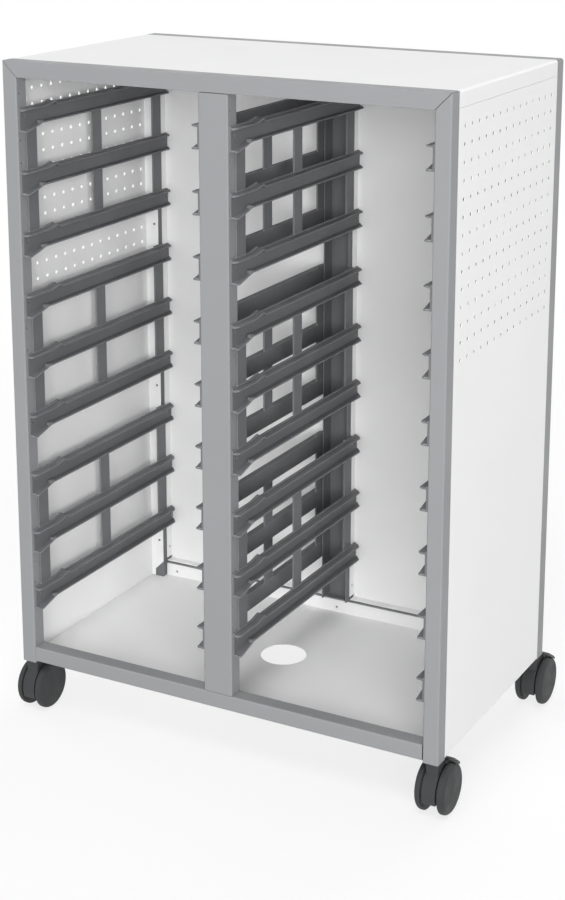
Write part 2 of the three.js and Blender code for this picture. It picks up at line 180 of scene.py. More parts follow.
# Folds and openings of the sheet metal
FLOOR_OPENING = 37.5 * MM
CORNER_SLIT = 4.5 * MM
CORNER_RELIEF = 3.0 * MM
UPSTAND_GAP = 1.5 * MM
FLANGE_FOOT = 30 * MM
FLANGE_TOE = 8 * MM

# Channel runners: how many to a ladder, and their section
RUNNERS = 3
LEVEL_PITCH = 97.1 * MM
WEB = 3.0 * MM
WEB_UPSTAND = 1.8 * MM
CREST_CHAMFER = 0.6 * MM
LIP = 2.5 * MM
LIP_LEAST = 0.2 * MM
LIP_TIP_STEPS = 6
FILLET = 1.2 * MM
CHANNEL_HEIGHT = 26 * MM

# Channel runners along their length: the ends, the lips' tapers, the flared mouth and the hump
END_ROUND = 0.8 * MM
LIP_FRONT = 3.2 * MM
LIP_FRONT_STUB = 0.6
LIP_REAR = 10 * MM
LIP_REAR_STUB = 0.3
MOUTH_HEIGHT = 36 * MM
MOUTH_FLAT = 5 * MM
MOUTH_RAMP = 39 * MM
HUMP_START = 55 * MM
HUMP_RISE = 22 * MM
HUMP_FALL = 7 * MM
HUMP_HEIGHT = 4.2 * MM

# Shares of those stretches at which a runner has a section
END_SHARES = (0, 0.15, 0.5, 1)
LIP_SHARES = (0.45, 0.7, 1)
MOUTH_SHARES = (0.03, 0.5, 0.97, 1.05)
RISE_SHARES = (-0.1, 0.1, 0.5, 0.9, 1)
FALL_SHARES = (0.15, 0.5, 0.85, 1.3)

# Tray stops
STOP_START = 37 * MM
STOP_LENGTH = 7 * MM
STOP_SETBACK = 0.5 * MM
STOP_WIDTH = 6 * MM
STOP_HEIGHT = 4.8 * MM

# Straps between the runners; a centre below zero is counted from the rear end
STRAP_WIDTH = 26 * MM
STRAP_INSET = 0.25 * MM
STRAP_BITE = 2 * MM
STRAP_STUB = 4.5 * MM
STRAP_CENTRES = (28.5 * MM, 205 * MM, -32.5 * MM)

# Screw holes of the ladders, from their ends and below the runner's lip
SCREW_INSET = 8.5 * MM
SCREW_DROP = 12 * MM
SCREW_RADIUS = 3.2 * MM

# Wheels: the groove's width and depth, the soft shoulder from the tread to the face, and the dished face
WHEEL_SEGMENTS = 72
WHEEL_BORE = 3.3 * MM
WHEEL_BORE_DEPTH = 9 * MM
WHEEL_INNER_EASE = 0.8 * MM
WHEEL_INNER_STEPS = 5
WHEEL_GROOVE = (2 * MM, 4.5 * MM)
TREAD_END = 6 * MM
SHOULDER_STEPS = 10
FACE_DROP = 8 * MM
FACE_DISH = 0.6 * MM
FACE_SHARES = (0.94, 0.8, 0.5, 0.2, 0)

# Hoods: the outline around the axle, the neck under the stem, and the squarish boss
HOOD_TUCK = 1.5 * MM
HOOD_SKIRT = 22.0
HOOD_STEPS = 24
HOOD_REAR = 12 * MM
HOOD_REAR_TOP = 30 * MM
HOOD_BELLY = 12 * MM
HOOD_SIDE = 0.5 * MM
NECK_REAR = 22.5 * MM
NECK_HEIGHT = 9 * MM
NECK_SETBACK = 4 * MM
BOSS_HALF = (10.3 * MM, 6.6 * MM)
BOSS_SQUARE = 0.5
BOSS_HEIGHT = 26 * MM

# Stems: the shaft, and the collar between the hood and the stile
STEM_SEGMENTS = WHEEL_SEGMENTS // 2
STEM_RADIUS = 5.5 * MM
COLLAR_RADIUS = 8.5 * MM
COLLAR_EASE = 0.3 * MM
STEM_EASE = 3 * COLLAR_EASE
STILE_DROP = 2.7 * MM

# Brake paddles: the arms and pin, then the shell, whose pairs run from the edge at the stem to the tip
LEVER_ARM = 3 * MM
LEVER_ARM_HEIGHT = 3 * MM
LEVER_GAP = 0.7 * MM
TRUNNION_RADIUS = 2 * MM
LEVER_STEPS = 20
LEVER_COLUMNS = 48
LEVER_THICKNESS = 1.7 * MM
LEVER_CLEAR = (1.2 * MM, 3.0 * MM)
LEVER_ARC = (84.0, 44.0)
LEVER_WAIST = 18.5 * MM

# The paddle's crown and the distances from its middle over which it falls, the raked edge and the share it
# fades over, the start and length of the flare, the start and depth of the tip's round, and the rib
LEVER_CROWN = 5.6 * MM
LEVER_CROWN_SPAN = (9.5 * MM, 17 * MM)
LEVER_CROWN_POWER = 4
LEVER_RAKE = (7.0, 0.5)
LEVER_FLARE = (0.05, 0.22)
LEVER_END = (0.8, 2.5 * MM)
LEVER_RIB = [(y * MM, z * MM) for y, z in (
    (4, 38.4), (14, 31.5), (15.5, 25), (22, 25), (27.2, 32.4),
    (22.4, 35.9), (17.2, 38.6), (11.7, 40.7), (5.9, 41.9),
)]
LEVER_RIB_HALF = 10 * MM

nodes = frame["nodes"]
slot_of = {part["node"]: part["material_slot"] for part in frame["record"]["subparts"]}
joint_place = {joint["name"]: Vector(joint["pos_m"]) for joint in frame["joints"]}

SIDES = (("left", -1), ("right", 1))
CASTERS = [f"{end}_{side}_caster" for end in ("front", "rear") for side, _ in SIDES]
LADDER_WALLS = (("left_wall", 1), ("divider_left", -1), ("divider_right", 1), ("right_wall", -1))
LADDER_HEIGHTS = ("upper", "middle", "lower")


# Materials

def linear(colour):
    """An sRGB colour of 0 to 255 as the linear RGBA that the shaders take."""
    shares = [c / 255 for c in colour]
    return (*[s / 12.92 if s <= 0.04045 else ((s + 0.055) / 1.055) ** 2.4 for s in shares], 1.0)


def shade(colour, factor):
    """The same colour, lighter or darker."""
    return tuple(min(c * factor, 255) for c in colour)


def noise(tree, coordinates, scale, detail):
    """A cloud of numbers around a half."""
    node = tree.nodes.new("ShaderNodeTexNoise")
    node.inputs["Scale"].default_value = scale
    node.inputs["Detail"].default_value = detail
    tree.links.new(coordinates, node.inputs["Vector"])
    return node.outputs["Fac"]


def between(tree, factor, low, high, span=NOISE_SPAN):
    """A number that runs from low to high as the factor crosses its span."""
    node = tree.nodes.new("ShaderNodeMapRange")
    node.inputs["From Min"].default_value = span[0]
    node.inputs["From Max"].default_value = span[1]
    node.inputs["To Min"].default_value = low
    node.inputs["To Max"].default_value = high
    tree.links.new(factor, node.inputs["Value"])
    return node.outputs["Result"]


def mixed(tree, factor, first, second):
    """A colour between two others, each a socket or a fixed colour."""
    node = tree.nodes.new("ShaderNodeMix")
    node.data_type = "RGBA"
    tree.links.new(factor, node.inputs["Factor"])
    for name, value in (("A", first), ("B", second)):
        socket = next(s for s in node.inputs if s.name == name and s.type == "RGBA")
        if isinstance(value, bpy.types.NodeSocket):
            tree.links.new(value, socket)
        else:
            socket.default_value = value
    return next(s for s in node.outputs if s.type == "RGBA")


def joined(tree, operation, first, second):
    """Two numbers joined by an operation of the Math node."""
    node = tree.nodes.new("ShaderNodeMath")
    node.operation = operation
    tree.links.new(first, node.inputs[0])
    tree.links.new(second, node.inputs[1])
    return node.outputs["Value"]


def edges_of(tree):
    """1 where the surface turns outward within the width of the paler edge, which is partly wear and partly
    painted highlight, 0 on a flat or hollow stretch.
    """
    shape = tree.nodes.new("ShaderNodeNewGeometry")
    rounded_off = tree.nodes.new("ShaderNodeBevel")
    rounded_off.samples = WEAR_AND_HIGHLIGHT_SAMPLES
    rounded_off.inputs["Radius"].default_value = WEAR_AND_HIGHLIGHT_WIDTH
    turn = tree.nodes.new("ShaderNodeVectorMath")
    turn.operation = "DOT_PRODUCT"
    tree.links.new(rounded_off.outputs["Normal"], turn.inputs[0])
    tree.links.new(shape.outputs["True Normal"], turn.inputs[1])
    bend = between(tree, turn.outputs["Value"], 1.0, 0.0, WEAR_AND_HIGHLIGHT_EDGE)
    outward = between(tree, shape.outputs["Pointiness"], 0.0, 1.0, OUTWARD)
    return joined(tree, "MULTIPLY", bend, outward)


def surface(name, colour, gloss, mottle, grain, wear_and_highlight, metallic=0.0):
    """A finish with cloudy tone, uneven gloss, a fine grain and a paler edge that is partly wear and partly
    painted highlight.

    gloss is the range of roughness, mottle is (scale, depth) of the tone, grain is (scale, depth in
    metres) of the relief and wear_and_highlight is how much paler an edge is, from wear and from painted
    highlight.
    """
    material = bpy.data.materials.new(name)
    material.use_nodes = True
    tree = material.node_tree
    shader = tree.nodes["Principled BSDF"]
    shader.inputs["Metallic"].default_value = metallic
    shader.inputs["Specular IOR Level"].default_value = SHEEN
    place = tree.nodes.new("ShaderNodeTexCoord").outputs["Object"]
    scale, depth = mottle
    cloud = noise(tree, place, scale, CLOUD_DETAIL)
    tone = mixed(
        tree, between(tree, cloud, 0.0, 1.0),
        linear(shade(colour, 1 - depth)), linear(shade(colour, 1 + depth)),
    )
    fray = noise(tree, place, FRAY_SCALE * scale, FRAY_DETAIL)
    # Edges are paler partly from wear and partly as a painted highlight where light catches them
    wear_and_highlight_mask = joined(tree, "MULTIPLY", edges_of(tree), between(tree, fray, FRAY_LEAST, 1.0))
    worn_and_lit_tone = mixed(tree, wear_and_highlight_mask, tone, linear(shade(colour, wear_and_highlight)))
    tree.links.new(worn_and_lit_tone, shader.inputs["Base Color"])
    smear = noise(tree, place, SMEAR_SCALE * scale, SMEAR_DETAIL)
    tree.links.new(between(tree, smear, *gloss), shader.inputs["Roughness"])
    bump = tree.nodes.new("ShaderNodeBump")
    bump.inputs["Strength"].default_value = GRAIN_STRENGTH
    bump.inputs["Distance"].default_value = grain[1]
    tree.links.new(noise(tree, place, grain[0], GRAIN_DETAIL), bump.inputs["Height"])
    tree.links.new(bump.outputs["Normal"], shader.inputs["Normal"])
    return material


# One finish for each material slot, and one for the paddles in the casters' slot, darker than the caster plastic
# as painted shade
finishes = {
    "frame": surface("grey_powder_coat", FRAME_GREY, (0.36, 0.5), (5, 0.006), (1400, 0.05 * MM), 1.06),
    "panel": surface("white_powder_coat", PANEL_WHITE, (0.4, 0.55), (4, 0.003), (1600, 0.04 * MM), 1.02),
    # The runner's much paler edge is mostly a painted highlight along the lips' noses, with some wear
    "runner": surface("runner_plastic", RUNNER_GREY, (0.42, 0.58), (9, 0.015), (2200, 0.06 * MM), 1.5),
    "caster": surface("caster_plastic", CASTER_GREY, (0.4, 0.56), (14, 0.04), (2600, 0.06 * MM), 1.2),
    "wheel": surface("wheel_rubber", WHEEL_GREY, (0.5, 0.68), (16, 0.05), (1800, 0.08 * MM), 1.12),
    "lever": surface("lever_plastic_shaded", LEVER_SHADED_GREY, (0.4, 0.56), (14, 0.04), (2600, 0.06 * MM), 1.2),
    "steel": surface("plated_steel", STEEL_GREY, (0.22, 0.36), (30, 0.03), (3000, 0.02 * MM), 1.05, 0.9),
}
for node_name, node in nodes.items():
    node.data.materials.clear()
    node.data.materials.append(finishes[slot_of[node_name]])


# Mesh tools

def linked(name, bm):
    """The mesh as an object in the scene."""
    mesh = bpy.data.meshes.new(name)
    bm.to_mesh(mesh)
    bm.free()
    item = bpy.data.objects.new(name, mesh)
    bpy.context.scene.collection.objects.link(item)
    return item


def publish(name, bm, slot, body, replaced=(), finish=None):
    """Make the mesh an object that rides on its body and stands for the replaced nodes.

    Its finish is the slot's own unless another is named.
    """
    bmesh.ops.recalc_face_normals(bm, faces=bm.faces)
    piece = linked(name, bm)
    piece.data.materials.append(finishes[finish or slot])
    piece.data.shade_smooth()
    piece.data.set_sharp_from_angle(angle=math.radians(SHARP_EDGE))
    even = piece.modifiers.new("even_shading", "WEIGHTED_NORMAL")
    even.keep_sharp = True
    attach(piece, body)
    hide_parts(*replaced)


def ease(bm, width, segments=EASE_STEPS, edges=None):
    """Round every edge that is sharper than SHARP_EDGE, or the given edges."""
    limit = math.radians(SHARP_EDGE)
    chosen = edges or [e for e in bm.edges if len(e.link_faces) == 2 and e.calc_face_angle() > limit]
    bmesh.ops.bevel(
        bm, geom=chosen, offset=width, offset_type="OFFSET", segments=segments,
        profile=ROUND_PROFILE, affect="EDGES", clamp_overlap=True,
    )


def tidied(bm):
    """Weld corners that meet and drop the edges across flat faces."""
    bmesh.ops.remove_doubles(bm, verts=bm.verts, dist=WELD)
    flat = math.radians(FLAT_EDGE)
    bmesh.ops.dissolve_limit(bm, angle_limit=flat, verts=bm.verts, edges=bm.edges)
    return bm


def copy_of(node):
    """The node's mesh with welded corners and no edges across its flat faces."""
    bm = bmesh.new()
    bm.from_mesh(nodes[node].data)
    return tidied(bm)


def extent(bm, axis):
    """The mesh's size along an axis."""
    places = [corner.co[axis] for corner in bm.verts]
    return max(places) - min(places)


def loft(bm, loops):
    """Skin a row of closed loops that have the same number of points, and cap both ends."""
    rings = [[bm.verts.new(point) for point in loop] for loop in loops]
    count = len(rings[0])
    for one, two in zip(rings, rings[1:]):
        for i in range(count):
            j = (i + 1) % count
            bm.faces.new((one[i], one[j], two[j], two[i]))
    bm.faces.new(rings[0])
    bm.faces.new(rings[-1])


def prism(bm, points, lift, low, high):
    """Extrude a flat outline; lift turns (a, b, depth) into a place."""
    loft(bm, [[lift(a, b, depth) for a, b in points] for depth in (low, high)])


def arc(centre, radius, start, end, steps):
    """Points along an arc, its angles in degrees."""
    turns = [math.radians(start + (end - start) * i / steps) for i in range(steps + 1)]
    return [(centre[0] + radius * math.cos(t), centre[1] + radius * math.sin(t)) for t in turns]


def circle(centre, radius, segments):
    """Points around a full circle."""
    return arc(centre, radius, 0, 360, segments)[:-1]


def rectangle(a0, a1, b0, b1):
    """The corners of an upright rectangle."""
    return [(a0, b0), (a1, b0), (a1, b1), (a0, b1)]


def along_x(a, b, depth):
    """The place of an outline's point when the outline is extruded along X."""
    return Vector((depth, a, b))


def along_y(a, b, depth):
    """The same, along Y."""
    return Vector((a, depth, b))


def along_z(a, b, depth):
    """The same, along Z."""
    return Vector((a, b, depth))


def sheet(bm, points, holes, lift, low, high, segments=HOLE_SEGMENTS):
    """A flat sheet pierced by round holes (a, b, radius) whose rims are eased."""
    rims = {low: [], high: []}
    for depth in (low, high):
        corners = [bm.verts.new(lift(a, b, depth)) for a, b in points]
        rims[depth] += [bm.edges.new((c, corners[i - 1])) for i, c in enumerate(corners)]
    sides = list(zip(rims[low], rims[high]))
    for one, two in sides:
        bmesh.ops.bridge_loops(bm, edges=[one, two])
    for a, b, radius in holes:
        rings = []
        for depth, grow in ((low, 1), (low + RIM_EASE, 0), (high - RIM_EASE, 0), (high, 1)):
            ring = circle((a, b), radius + grow * RIM_EASE, segments)
            rings.append([bm.verts.new(lift(*point, depth)) for point in ring])
        for one, two in zip(rings, rings[1:]):
            for i in range(segments):
                bm.faces.new((one[i - 1], one[i], two[i], two[i - 1]))
        for depth, ring in ((low, rings[0]), (high, rings[-1])):
            rims[depth] += [bm.edges.get((v, ring[i - 1])) for i, v in enumerate(ring)]
    for edges in rims.values():
        bmesh.ops.triangle_fill(bm, edges=edges, use_beauty=True)


def lathe(bm, profile, lift, segments):
    """Revolve (radius, height) points; lift turns (a, b, height) into a place."""
    rings = []
    for radius, height in profile:
        ring = circle((0, 0), radius, segments) if radius > 0 else [(0, 0)]
        rings.append([bm.verts.new(lift(*point, height)) for point in ring])
    for one, two in zip(rings, rings[1:]):
        for i in range(segments):
            corners = [
                one[(i - 1) % len(one)], one[i % len(one)],
                two[i % len(two)], two[(i - 1) % len(two)],
            ]
            distinct = list(dict.fromkeys(corners))
            if len(distinct) > 2:
                bm.faces.new(distinct)


def drilled(bm, holes):
    """Cut round holes, each (outline centre, radius, lift, low, high), through a closed mesh."""
    tools = bmesh.new()
    for centre, radius, lift, low, high in holes:
        prism(tools, circle(centre, radius, HOLE_SEGMENTS), lift, low, high)
    bmesh.ops.recalc_face_normals(tools, faces=tools.faces)
    bmesh.ops.recalc_face_normals(bm, faces=bm.faces)
    target = linked("drill_target", bm)
    tool = linked("drill_tool", tools)
    cut = target.modifiers.new("cut", "BOOLEAN")
    cut.object = tool
    cut.operation = "DIFFERENCE"
    cut.solver = "EXACT"
    scene_state = bpy.context.evaluated_depsgraph_get()
    result = bmesh.new()
    result.from_mesh(target.evaluated_get(scene_state).to_mesh())
    for item in (target, tool):
        mesh = item.data
        bpy.data.objects.remove(item)
        bpy.data.meshes.remove(mesh)
    return result


# Grey frame and dark posts

frame_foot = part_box("front_bottom_rail")[0].z


def ladder_levels(crest):
    """Heights of a ladder's runners, from the top of its node."""
    first = crest - HUMP_HEIGHT - WEB_UPSTAND
    return [first - i * LEVEL_PITCH for i in range(RUNNERS)]


def stile_holes(node, face_sign):
    """Fixing and screw holes through the face of an upright that looks into a bay."""
    low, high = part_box(node)
    face = high.x if face_sign > 0 else low.x
    places = [
        ((low.y + STILE_HOLE_INSET, frame_foot + height), STILE_HOLE_RADIUS)
        for height in STILE_HOLE_HEIGHTS
    ]
    for height_name in LADDER_HEIGHTS:
        ladder_low, ladder_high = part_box(f"{LADDER_WALLS[0][0]}_{height_name}_ladder")
        levels = ladder_levels(ladder_high.z)
        for level in (levels[0], levels[-1]):
            centre = (ladder_low.y + SCREW_INSET, level - SCREW_DROP)
            places.append((centre, SCREW_RADIUS - FIT_GAP))
    depths = (face - DRILL_REACH, face + DRILL_REACH)
    return [(centre, radius, along_x, *depths) for centre, radius in places]


def front_edges(bm):
    """Edges around a member's front face, apart from its mitre cuts and its ends."""
    front = min(v.co.y for v in bm.verts)
    across = 0 if extent(bm, 0) < extent(bm, 2) else 2
    chosen = []
    for edge in bm.edges:
        if max(abs(v.co.y - front) for v in edge.verts) > WELD or len(edge.link_faces) != 2:
            continue
        side = max((face.normal for face in edge.link_faces), key=lambda normal: normal.y)
        mitred = side.x * side.z * edge.verts[0].co.x < 0 and min(abs(side.x), abs(side.z)) > DIAGONAL
        if abs(side[across]) > DIAGONAL and not mitred:
            chosen.append(edge)
    return chosen


def square_corners(bm):
    """Draw a member's rounded outer corner out to a square one."""
    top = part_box("front_top_rail")[1].z
    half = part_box("front_right_stile")[1].x
    for corner in bm.verts:
        out = abs(corner.co.x) - half + CORNER_ROUND
        up = corner.co.z - top + CORNER_ROUND
        if min(out, up) > WELD:
            corner.co.x = math.copysign(half, corner.co.x)
            corner.co.z = top
    tidied(bm)


def open_mitres(bm):
    """Draw a member's mitre cuts back a little, so that the joint shows as a fine line."""
    along = max(range(3), key=lambda axis: extent(bm, axis))
    middle = 0 if along == 0 else MIDDLE.z
    for face in bm.faces:
        if min(abs(face.normal.x), abs(face.normal.z)) > DIAGONAL and face.calc_area() > MITRE_AREA:
            for corner in face.verts:
                corner.tag = True
    for corner in bm.verts:
        if corner.tag:
            corner.co[along] -= math.copysign(MITRE_GAP, corner.co[along] - middle)


def frame_piece(node, holes=(), rounded_front=False):
    """The node's own form with eased edges, and with holes and a rounded front where it has them."""
    bm = copy_of(node)
    if rounded_front:
        if node.endswith("stile"):
            square_corners(bm)
        open_mitres(bm)
        ease(bm, FRAME_EASE, FRAME_EASE_STEPS, front_edges(bm))
    ease(bm, SHEET_EASE)
    if holes:
        bm = drilled(bm, holes)
    publish(f"{node}_form", bm, slot_of[node], "cabinet", [node])


for member in ("top_rail", "bottom_rail"):
    frame_piece(f"front_{member}", rounded_front=True)
    frame_piece(f"rear_{member}")
for side, sign in SIDES:
    frame_piece(f"front_{side}_stile", stile_holes(f"front_{side}_stile", -sign), True)
    frame_piece(f"rear_{side}_stile")
    frame_piece(f"{side}_rear_post")
frame_piece("front_mullion", stile_holes("front_mullion", 1) + stile_holes("front_mullion", -1), True)
frame_piece("rear_mullion")
frame_piece("divider_rear_post")


# White sheet metal

def side_panel(side, sign):
    """The pegboard skin with a flange folded in along its front and rear edges."""
    node = f"{side}_side_panel"
    low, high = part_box(node)
    outer, inner = (high.x, low.x) if sign > 0 else (low.x, high.x)
    middle = (low.y + high.y) / 2
    body_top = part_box("front_top_rail")[1].z
    pegs = [
        (
            middle + (column - (PEG_COLUMNS - 1) / 2) * PEG_PITCH,
            body_top - PEG_FIRST_DROP - row * PEG_PITCH,
            PEG_RADIUS,
        )
        for row in range(PEG_ROWS) for column in range(PEG_COLUMNS)
    ]
    edge = outer - sign * SHEET
    bm = bmesh.new()
    sheet(bm, rectangle(low.y, high.y, low.z, high.z), pegs, along_x, *sorted((outer, edge)))
    foot = frame_foot + FLANGE_FOOT
    floor = low.z + SHEET + FIT_GAP
    toe = outer - sign * FLANGE_TOE
    outline = [
        (inner, foot), (inner, high.z), (edge, high.z),
        (edge, floor), (toe, floor), (toe, foot - abs(toe - inner)),
    ]
    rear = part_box(f"{side}_rear_post")[0].y - FIT_GAP
    fixings = [
        (inner + sign * FLANGE_HOLE_INSET, frame_foot + height, PANEL_HOLE_RADIUS)
        for height in FLANGE_HOLE_HEIGHTS
    ]
    sheet(bm, outline, [], along_y, low.y, low.y + SHEET)
    sheet(bm, outline, fixings, along_y, rear - SHEET, rear)
    publish(f"{node}_form", bm, "panel", "cabinet", [node])


def floor_panel():
    """The floor pan: a sheet with a round opening, and upturned front and rear edges."""
    low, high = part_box("floor_pan")
    notch_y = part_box("left_rear_post")[0].y - SHEET - 2 * FIT_GAP
    notch_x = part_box("left_back_panel")[0].x + SHEET - FIT_GAP
    outline = [
        (low.x, low.y), (high.x, low.y), (high.x, notch_y), (-notch_x, notch_y),
        (-notch_x, high.y), (notch_x, high.y), (notch_x, notch_y), (low.x, notch_y),
    ]
    middle = (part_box("front_left_stile")[0].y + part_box("rear_left_stile")[1].y) / 2
    bm = bmesh.new()
    opening = [(0, middle, FLOOR_OPENING)]
    sheet(bm, outline, opening, along_z, low.z, low.z + SHEET, WHEEL_SEGMENTS)
    upturn = rectangle(notch_x, -notch_x, low.z + SHEET, high.z - UPSTAND_GAP)
    fixings = [
        (reach, low.z + FLOOR_HOLE_HEIGHT, PANEL_HOLE_RADIUS)
        for reach in (-FLOOR_HOLE_REACH, 0, FLOOR_HOLE_REACH)
    ]
    sheet(bm, upturn, [], along_y, low.y, low.y + SHEET)
    sheet(bm, upturn, fixings, along_y, high.y - SHEET, high.y)
    publish("floor_pan_form", bm, "panel", "cabinet", ["floor_pan"])


def back_panel(side):
    """A back pan: its edges are folded forward, with a slit and a relief hole at each corner."""
    node = f"{side}_back_panel"
    low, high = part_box(node)
    bm = bmesh.new()
    corners = [
        (x, z, CORNER_RELIEF)
        for x in (low.x + CORNER_SLIT, high.x - CORNER_SLIT)
        for z in (low.z + CORNER_SLIT, high.z - CORNER_SLIT)
    ]
    sheet(bm, rectangle(low.x, high.x, low.z, high.z), corners, along_y, high.y - SHEET, high.y)
    fixing = [(high.y - PAN_HOLE_INSET, low.z + PAN_HOLE_RISE, PANEL_HOLE_RADIUS)]
    upright = rectangle(low.y, high.y - SHEET, low.z + SHEET + CORNER_SLIT, high.z - SHEET - CORNER_SLIT)
    for x in (low.x, high.x - SHEET):
        sheet(bm, upright, fixing, along_x, x, x + SHEET)
    level = rectangle(low.x + SHEET, high.x - SHEET, low.y, high.y - SHEET)
    for z in (low.z, high.z - SHEET):
        sheet(bm, level, [], along_z, z, z + SHEET)
    publish(f"{node}_form", bm, "panel", "cabinet", [node])


for side, sign in SIDES:
    side_panel(side, sign)
    back_panel(side)
floor_panel()
frame_piece("top_panel")


# Tray runners

def ramp(value, start, length):
    """0 before start, 1 after start + length, straight between."""
    return min(max((value - start) / length, 0), 1)


def rounded(share):
    """A quarter-round rise from 0 to 1."""
    return math.sqrt(max(1 - (1 - share) ** 2, 0))


def runner_section(along, length, reach):
    """The channel's outline at a distance from its front end.

    Its points are (off the wall, above the upper lip), and reach is how far the lips stand off the web.
    """
    back = length - along
    rise = ramp(along, HUMP_START, HUMP_RISE)
    fall = ramp(along, HUMP_START + HUMP_RISE, HUMP_FALL)
    mouth = (MOUTH_HEIGHT - CHANNEL_HEIGHT) * (1 - ramp(along, MOUTH_FLAT, MOUTH_RAMP))
    end_cut = END_ROUND * (1 - rounded(ramp(min(along, back), 0, END_ROUND)))
    top = HUMP_HEIGHT * (rise - fall) - end_cut
    bottom = -CHANNEL_HEIGHT - mouth + end_cut
    taper = min(
        LIP_FRONT_STUB + (1 - LIP_FRONT_STUB) * rounded(ramp(along, 0, LIP_FRONT)),
        LIP_REAR_STUB + (1 - LIP_REAR_STUB) * ramp(back, 0, LIP_REAR),
    )
    out = max(reach * taper, LIP_LEAST)
    half = LIP / 2
    nose = min(half, out)
    fillet = min(FILLET, out - nose)
    tip = WEB + out - nose

    def lip_tip(centre):
        turns = [math.radians(90 - 180 * i / LIP_TIP_STEPS) for i in range(LIP_TIP_STEPS + 1)]
        return [(tip + nose * math.cos(t), centre + half * math.sin(t)) for t in turns]

    crest = top + WEB_UPSTAND
    under = top - LIP
    above = bottom + LIP
    soft = fillet * (1 - math.sqrt(0.5))
    return [
        (0, bottom), (0, crest), (WEB - CREST_CHAMFER, crest), (WEB, crest - CREST_CHAMFER), (WEB, top),
        *lip_tip(top - half),
        (WEB + fillet, under), (WEB + soft, under - soft), (WEB, under - fillet),
        (WEB, above + fillet), (WEB + soft, above + soft), (WEB + fillet, above),
        *lip_tip(bottom + half),
    ]


def runner_stops(length):
    """Distances from the front end at which the runner's section changes."""
    front = [END_ROUND * s for s in END_SHARES] + [LIP_FRONT * s for s in LIP_SHARES]
    mouth = [MOUTH_FLAT + MOUTH_RAMP * s for s in MOUTH_SHARES]
    hump = [HUMP_START + HUMP_RISE * s for s in RISE_SHARES]
    fall = [HUMP_START + HUMP_RISE + HUMP_FALL * s for s in FALL_SHARES]
    rear = [length - LIP_REAR] + [length - END_ROUND * s for s in reversed(END_SHARES)]
    return front + mouth + hump + fall + [length / 2] + rear


def mouth_floor(along):
    """Height of the lower lip's underside against the upper lip."""
    return -MOUTH_HEIGHT + (MOUTH_HEIGHT - CHANNEL_HEIGHT) * ramp(along, MOUTH_FLAT, MOUTH_RAMP)


def tray_stop(bm, wall, into, front, level, reach):
    """The nub on the lower lip that keeps a tray from rolling out."""
    start = STOP_START
    end = STOP_START + STOP_LENGTH
    crown = level - CHANNEL_HEIGHT + STOP_HEIGHT
    sunk = LIP / 2
    outline = [
        (front + start, level + mouth_floor(start) + sunk),
        (front + end, level + mouth_floor(end) + sunk),
        (front + end, crown),
        (front + start, crown),
    ]
    outer = WEB + reach - STOP_SETBACK
    prism(bm, outline, along_x, *sorted((wall + into * (outer - STOP_WIDTH), wall + into * outer)))


def strap(bm, wall, into, middle, foot, top):
    """One upright strap against the wall."""
    outline = rectangle(middle - STRAP_WIDTH / 2, middle + STRAP_WIDTH / 2, foot, top)
    depths = sorted((wall + into * STRAP_INSET, wall + into * (WEB - STRAP_INSET)))
    prism(bm, outline, along_x, *depths)


def straps(bm, wall, into, front, rear, levels):
    """The straps between the runners, and the end of the rear one above the first runner."""
    for above, below in zip(levels, levels[1:]):
        top = above - CHANNEL_HEIGHT + STRAP_BITE
        for centre in STRAP_CENTRES:
            middle = front + centre if centre > 0 else rear + centre
            under_mouth = middle - STRAP_WIDTH / 2 < front + MOUTH_FLAT + MOUTH_RAMP
            strap(bm, wall, into, middle, below - STRAP_BITE, top - STRAP_BITE if under_mouth else top)
    strap(bm, wall, into, rear + STRAP_CENTRES[-1], levels[0] - STRAP_BITE, levels[0] + STRAP_STUB)


def ladder(node, into):
    """Channel runners one above the other, their tray stops, and the straps that join them."""
    low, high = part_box(node)
    wall = low.x if into > 0 else high.x
    length = high.y - low.y
    reach = high.x - low.x - WEB
    levels = ladder_levels(high.z)
    bm = bmesh.new()
    for level in levels:
        loops = []
        for along in runner_stops(length):
            section = runner_section(along, length, reach)
            loops.append([Vector((wall + into * x, low.y + along, level + z)) for x, z in section])
        loft(bm, loops)
    depths = sorted((wall - into * WEB, wall + into * 2 * WEB))
    screws = [
        ((place_y, level - SCREW_DROP), SCREW_RADIUS, along_x, *depths)
        for level in (levels[0], levels[-1])
        for place_y in (low.y + SCREW_INSET, high.y - SCREW_INSET)
    ]
    bm = drilled(bm, screws)
    extras = bmesh.new()
    for level in levels:
        tray_stop(extras, wall, into, low.y, level, reach)
    straps(extras, wall, into, low.y, high.y, levels)
    ease(extras, PLASTIC_EASE / 2)
    spare = bpy.data.meshes.new("ladder_extras")
    extras.to_mesh(spare)
    extras.free()
    bm.from_mesh(spare)
    bpy.data.meshes.remove(spare)
    publish(f"{node}_form", bm, "runner", "cabinet", [node])


for wall_name, into in LADDER_WALLS:
    for height_name in LADDER_HEIGHTS:
        ladder(f"{wall_name}_{height_name}_ladder", into)


# Casters

